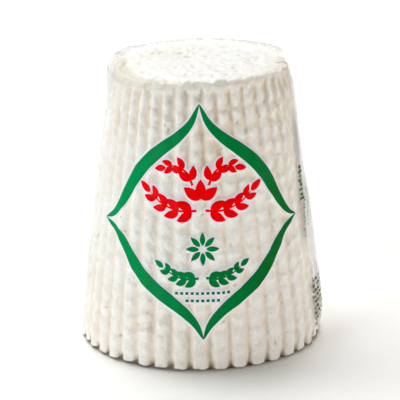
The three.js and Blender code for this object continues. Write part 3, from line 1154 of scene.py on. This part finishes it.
def halo(line, half_width, rim):
    """The same ribbon, wider by rim all round. Quarter circles round its ends off."""
    along = directions(line)
    turn = np.linspace(0, np.pi / 2, CAP_STEPS)
    beyond, cap = rim * np.cos(turn)[:, None], rim * np.sin(turn)
    before = line[0] - along[0] * beyond
    after = line[-1] + along[-1] * beyond[::-1]
    wide = np.concatenate([cap + half_width[0], half_width + rim, cap[::-1] + half_width[-1]])
    wide[0] = wide[-1] = TIP_HALF_WIDTH
    return stroke(np.concatenate([before, line, after]), wide)


print("a halo has", 2 * CAP_STEPS, "points more along it than its stroke")

# %% [markdown]
# All strokes of one ink become one mesh of open patches, and a Solidify modifier closes
# each into a thin shell. Strokes overlap, so neighbours are lifted by small steps: two
# faces at the very same place would flicker.

# %% Ink shells
INK_THICKNESS, INK_STEP, INK_LEVELS = 0.02, 0.004, 3


def patch_faces(rows, columns, first):
    """Quads of an open grid whose vertices start at number first."""
    row, column = np.meshgrid(np.arange(rows - 1), np.arange(columns - 1), indexing="ij")
    corner = first + row * columns + column
    quads = np.stack([corner, corner + 1, corner + columns + 1, corner + columns], -1)
    return quads.reshape(-1, 4).tolist()


def print_object(name, strokes, lift):
    """All strokes of one ink as one mesh of thin shells over the film."""
    points, faces, first = [], [], 0
    for index, grid in enumerate(strokes):
        level = lift + INK_STEP * (index % INK_LEVELS)
        points.append(film_surface(grid[..., 0], grid[..., 1], level).reshape(-1, 3))
        faces += patch_faces(*grid.shape[:2], first)
        first += grid.shape[0] * grid.shape[1]
    piece = mesh_object(name, np.concatenate(points), faces)
    solid = piece.modifiers.new("ink thickness", "SOLIDIFY")
    solid.thickness = INK_THICKNESS * MM
    solid.offset = -1
    piece.visible_shadow = False
    return piece


print("ink shells are", INK_THICKNESS, "mm thick")

# %% [markdown]
# The large ornament is an ogee lozenge of four swelling ribbons, a shape as old as woven
# cloth. Each ribbon leaves its point steeply, swings out, and meets the side point flat.

# %% The ogee frame
FRAME_HALO = 0.65
ARM_STEPS = 90
UPPER_ARM = [(0, 87.4), (2.9, 81.3), (7.3, 76.7), (12.8, 72.6), (18.0, 68.2), (22.3, 63.3),
             (25.9, 57.8), (29.4, 52.7), (33.2, 48.9), (37.8, 46.8)]
LOWER_ARM = [(0, 11.4), (2.3, 16.1), (6.2, 20.4), (10.9, 23.9), (15.5, 27.1), (19.7, 30.5),
             (23.2, 34.4), (26.2, 38.4), (29.2, 42.2), (32.9, 45.1), (37.8, 46.8)]
UPPER_HALF_WIDTH, LOWER_HALF_WIDTH, THINNEST = 2.05, 2.2, 0.03
frame_strokes, frame_halos = [], []
swell = np.sin(np.pi * np.linspace(0, 1, ARM_STEPS) ** 0.9) ** 0.75
for points, half_width in ((UPPER_ARM, UPPER_HALF_WIDTH), (LOWER_ARM, LOWER_HALF_WIDTH)):
    arm_width = THINNEST + half_width * swell
    for side in (-1, 1):
        line = spline(points, ARM_STEPS) * (side, 1)
        frame_strokes.append(stroke(line, arm_width))
        frame_halos.append(halo(line, arm_width, FRAME_HALO))
print("frame ribbons:", len(frame_strokes))

# %% [markdown]
# Inside the lozenge is a plain folk garland: red leafy boughs above, a green rosette and
# two smaller boughs below, and two rows of dashes. A leaf is a short bent stroke that
# swells and tapers.

# %% Leaves, rosettes and dashes
LEAF_STEPS = 15


def leaf(x, y, heading, length, half_width, bend=0.0):
    """A leaf's centre line and half width: the line starts at its stalk and turns by bend
    along its length, and the width rises and falls as a sine."""
    share = np.linspace(0, 1, LEAF_STEPS)
    turn = heading + bend * share
    step = length / (LEAF_STEPS - 1)
    line = np.stack([x + np.cumsum(np.cos(turn)) * step, y + np.cumsum(np.sin(turn)) * step], -1)
    return line, THINNEST + half_width * np.sin(np.pi * share**0.85) ** 0.8


def rosette(x, y, count, inner, length, half_width):
    """Leaves that radiate from a middle, each starting at a small distance from it."""
    turns = np.arange(count) * 2 * np.pi / count + np.pi / 2
    start = x + inner * np.cos(turns), y + inner * np.sin(turns)
    return [leaf(a, b, turn, length, half_width) for a, b, turn in zip(*start, turns)]


def dash(x, y, length, half_width):
    """A short level bar, as a centre line and a half width."""
    line = np.stack([x + length * np.linspace(-0.5, 0.5, 5), np.full(5, y)], -1)
    return line, np.full(5, half_width)


print("a leaf has", LEAF_STEPS, "points")

# %% [markdown]
# A bough is a stem with pairs of leaves, as on any hedge: they leave it to both sides, bend
# back along it, and are smaller the nearer they are to its tip.

# %% Boughs
STEM_STEPS, STEM_HALF_WIDTHS = 40, (0.42, 0.2)
LEAF_TURN, LEAF_BEND, LEAF_SHRINK, TIP_LEAF = 0.75, -0.5, 0.35, 0.8


def bough(points, count, length, half_width, side):
    """A curved stem with count pairs of leaves that shorten towards its tip, and a last
    leaf at the tip. A side of -1 mirrors it."""
    stem = spline([(side * x, y) for x, y in points], STEM_STEPS)
    marks = [(stem, np.linspace(*STEM_HALF_WIDTHS, STEM_STEPS))]
    for index in range(count):
        share = (index + 0.35) / count
        at = int(share * (STEM_STEPS - 1))
        ahead = stem[min(at + 1, STEM_STEPS - 1)] - stem[at - 1]
        heading = np.arctan2(ahead[1], ahead[0])
        shrink = 1 - LEAF_SHRINK * share
        for turn in (LEAF_TURN, -LEAF_TURN):
            size = length * shrink, half_width * shrink
            marks.append(leaf(*stem[at], heading + turn, *size, LEAF_BEND * np.sign(turn)))
    marks.append(leaf(*stem[-1], heading, length * TIP_LEAF, half_width * TIP_LEAF))
    return marks


print("a stem has", STEM_STEPS, "points")

# %% [markdown]
# The garland is listed as data. A bough is its stem's points on the right-hand side, the
# number of its pairs of leaves, and a leaf's length and half width.

# %% Garland
LEAF_HALO = 0.7
RED_BOUGHS = [([(1.5, 53.4), (7, 53.3), (12.6, 55.2), (16.6, 58.4)], 4, 6.0, 1.5),
              ([(2.6, 61.6), (4.4, 65.6), (8.0, 67.6), (11.0, 67.0)], 3, 5.0, 1.3)]
GREEN_BOUGHS = [([(1.2, 31.6), (5.0, 31.2), (9.0, 32.2), (12.6, 34.6)], 4, 4.4, 1.15)]
FLOWER = {"x": 0, "y": 56.6, "length": 6.4, "half_width": 1.7}
FLOWER_TURNS = (-0.9, 0.0, 0.9)
ROSETTE = {"x": 0.3, "y": 41.0, "count": 8, "inner": 0.9, "length": 4.2, "half_width": 0.85}
DASH_ROWS, DASH_PITCH, DASH_SIZE = {26.6: 5, 24.2: 3}, 1.7, (1.0, 0.45)
red_marks, green_marks = [], []
for side in (-1, 1):
    red_marks += [mark for plan in RED_BOUGHS for mark in bough(*plan, side)]
    green_marks += [mark for plan in GREEN_BOUGHS for mark in bough(*plan, side)]
red_marks += [leaf(heading=np.pi / 2 + turn, **FLOWER) for turn in FLOWER_TURNS]
green_marks += rosette(**ROSETTE)
for height, reach in DASH_ROWS.items():
    places = np.arange(-reach, reach + 1) * DASH_PITCH
    green_marks += [dash(place, height, *DASH_SIZE) for place in places]
print("marks:", len(red_marks), "red,", len(green_marks), "green")

# %% [markdown]
# Round the right flank runs a column of plain bars, where such a wrap has its small print,
# and below it a block of shorter ones. They say nothing, and only their rhythm is kept. A
# column is given by its distance round the film, its lowest and highest bar and its size.

# %% Side panel
SIDE_COLUMNS = {44.2: (50.0, 62.0, 1.0), 45.6: (37.0, 50.0, 0.5), 48.5: (40.0, 56.0, 0.3)}
BLOCK_ROWS, BLOCK_LEFT, BLOCK_RIGHT = np.arange(5.5, 21.5, 1.9), 48.5, 63.0
BLOCK_HALF_WIDTH = 0.33
side_random = np.random.default_rng(17)
side_marks = []
for column, (low, high, size) in SIDE_COLUMNS.items():
    y = low
    while y < high:
        length = size * side_random.uniform(1.4, 3.2)
        thick = size * side_random.uniform(0.3, 0.55)
        side_marks.append(dash(column + side_random.uniform(-0.4, 0.4), y, length, thick))
        y += 2 * thick + side_random.uniform(0.3, 1.2)
for y in BLOCK_ROWS:
    x = BLOCK_LEFT + side_random.uniform(0, 2)
    while x < BLOCK_RIGHT:
        length = side_random.uniform(0.6, 2.2)
        side_marks.append(dash(x + length / 2, y, length, BLOCK_HALF_WIDTH))
        x += length + side_random.uniform(0.6, 2.4)
print("bars on the side:", len(side_marks))

# %% [markdown]
# Each ink is one piece, as each is one pass of the press. White lies under the red and the
# green of the garland and the frame, and shows round them as their halo.

# %% Print pieces
WHITE_LIFT, INK_LIFT = 0.08, 0.14
red_strokes = [stroke(*mark) for mark in red_marks]
green_strokes = [stroke(*mark) for mark in green_marks + side_marks] + frame_strokes
white_strokes = [halo(*mark, LEAF_HALO) for mark in red_marks + green_marks] + frame_halos
print_white = print_object("print_white", white_strokes, WHITE_LIFT)
print_red = print_object("print_red", red_strokes, INK_LIFT)
print_green = print_object("print_green", green_strokes, INK_LIFT)
print("strokes:", len(white_strokes), len(red_strokes), len(green_strokes))

# %% [markdown]
# Ink on curved film is never one flat colour: it is lighter where the film faces the light
# and deeper where it turns away. All three inks share a third group for that, a sweep from
# the left of the round to its right.

# %% Sweep
SWEEP_TURN = 70.0


def sweep_group():
    """From 0 at the left edge of the round to 1 at the right: object X over half the
    width, plus a sine of the height, moved from -1..1 to 0..1."""
    inputs = {"Half width": 0.034, "Wave": 0.15}
    group, inside, outside = new_group("sweep", inputs, "Mask", "NodeSocketFloat")
    place = add_node(group, "ShaderNodeTexCoord").outputs["Object"]
    parts = add_node(group, "ShaderNodeSeparateXYZ", {0: place}).outputs
    across = maths(group, "DIVIDE", parts["X"], inside.outputs["Half width"])
    wave = maths(group, "SINE", maths(group, "MULTIPLY", parts["Z"], SWEEP_TURN))
    total = maths(group, "MULTIPLY_ADD", wave, inside.outputs["Wave"], across)
    level = add_node(group, "ShaderNodeMapRange", {"Value": total, "From Min": -1.0})
    group.links.new(level.outputs["Result"], outside.inputs["Mask"])
    return group


SWEEP = sweep_group()
print("shared group:", SWEEP.name)

# %% [markdown]
# Each ink is mixed from two shades by the sweep, which slow patches of the mottle break up
# a little. Printed film is less glossy than clear film, so an ink is rougher and mirrors
# next to nothing.

# %% Inks
INK_PATCHES, PATCH_SHARE = {"Scale": 90.0, "Contrast": 1.5}, 0.25
INK_RIPPLE = {"Broad scale": 150.0, "Fine scale": 1200.0, "Fine share": 0.2, "Distance": 0.0002}
INK_FINISH = {"Roughness": 0.35, "Specular IOR Level": 0.02}
INK_SHADES = {
    "white ink": ((0.86, 0.82, 0.88), (0.88, 0.84, 0.89)),
    "red ink": ((0.98, 0.0, 0.002), (0.88, 0.0, 0.001)),
    "green ink": ((0.0, 0.34, 0.1), (0.0, 0.11, 0.0)),
}


def ink_material(name, left, right):
    """A mix of a left and a right shade, driven three quarters by the sweep and one
    quarter by the patches."""
    material, tree, shader = new_material(name)
    ends = {"A": place_group(tree, SWEEP, {}), "B": place_group(tree, MOTTLE, INK_PATCHES)}
    broken = add_node(tree, "ShaderNodeMix", {"Factor": PATCH_SHARE, **ends})
    colour = mix_colour(tree, broken.outputs["Result"], left, right)
    ripple = place_group(tree, RIPPLE, INK_RIPPLE)
    set_inputs(tree, shader, {"Base Color": colour, "Normal": ripple, **INK_FINISH})
    return material


for piece, (name, shades) in zip((print_white, print_red, print_green), INK_SHADES.items()):
    piece.data.materials.append(ink_material(name, *shades))
print("inks:", ", ".join(INK_SHADES))

# %% [markdown]
# ## Table
#
# The round stands on a plain white table, which only takes its shadow. The table isn't
# part of the object, so it is not attached to the root.

# %% Table
TABLE_SIZE, TABLE_WHITE, TABLE_ROUGHNESS = 8, (0.99, 0.972, 0.942), 0.7
bpy.ops.mesh.primitive_plane_add(size=TABLE_SIZE, location=(0, 0, 0))
floor = bpy.context.object
floor.name = "floor"
material, tree, shader = new_material("white table")
set_inputs(tree, shader, {"Base Color": TABLE_WHITE, "Roughness": TABLE_ROUGHNESS})
floor.data.materials.append(material)
print("table", TABLE_SIZE, "m wide")

# %% [markdown]
# ## Join the frame
#
# Food has no joint, so all five pieces ride on the root. Together they replace the packed
# solid, and each has a material slot of its own.

# %% Join the frame and finish
pieces = {
    "cheese": [ricotta],
    "film": [wrap],
    "print_white": [print_white],
    "print_red": [print_red],
    "print_green": [print_green],
}
for slot, members in pieces.items():
    for piece in members:
        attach(piece, "root")
        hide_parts("wrapped_ricotta")
